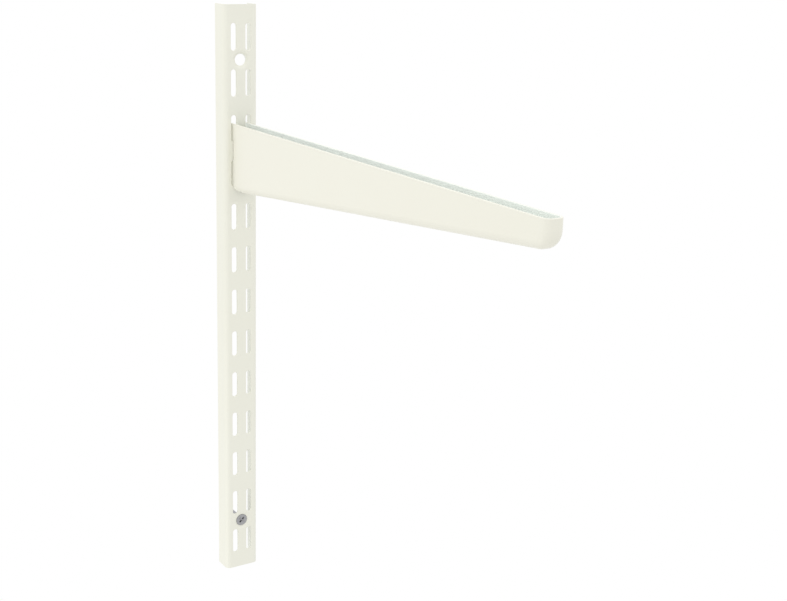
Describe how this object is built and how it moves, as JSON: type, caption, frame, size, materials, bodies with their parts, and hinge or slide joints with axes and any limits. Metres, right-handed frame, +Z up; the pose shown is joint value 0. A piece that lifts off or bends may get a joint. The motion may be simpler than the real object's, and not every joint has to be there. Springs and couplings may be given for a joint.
{
  "type": "twin slot shelf upright",
  "caption": "Slotted steel wall upright, a folded channel with two columns of slots, carrying one tapered trough bracket with a rounded nose and a countersunk fixing screw.",
  "frame": {"origin": "where the lower fixing screw's axis crosses the wall plane, midway between the last two pairs of slots", "axes": "+Z up along the upright, +Y into the wall, -Y into the room along the bracket, X along the wall; the flanks' back edges lie in the wall plane Y = 0"},
  "size_m": [0.026, 0.3927, 0.4284],
  "materials": {
    "cream_powder_coat": "satin cream powder coat on folded steel",
    "cream_powder_coat_bracket": "satin cream powder coat on pressed steel",
    "zinc_plated_steel": "dull grey plating"
  },
  "bodies": {
    "root": {"slotted_upright": "cream_powder_coat", "shelf_bracket": "cream_powder_coat_bracket", "fixing_screw": "zinc_plated_steel"}
  },
  "joints": []
}
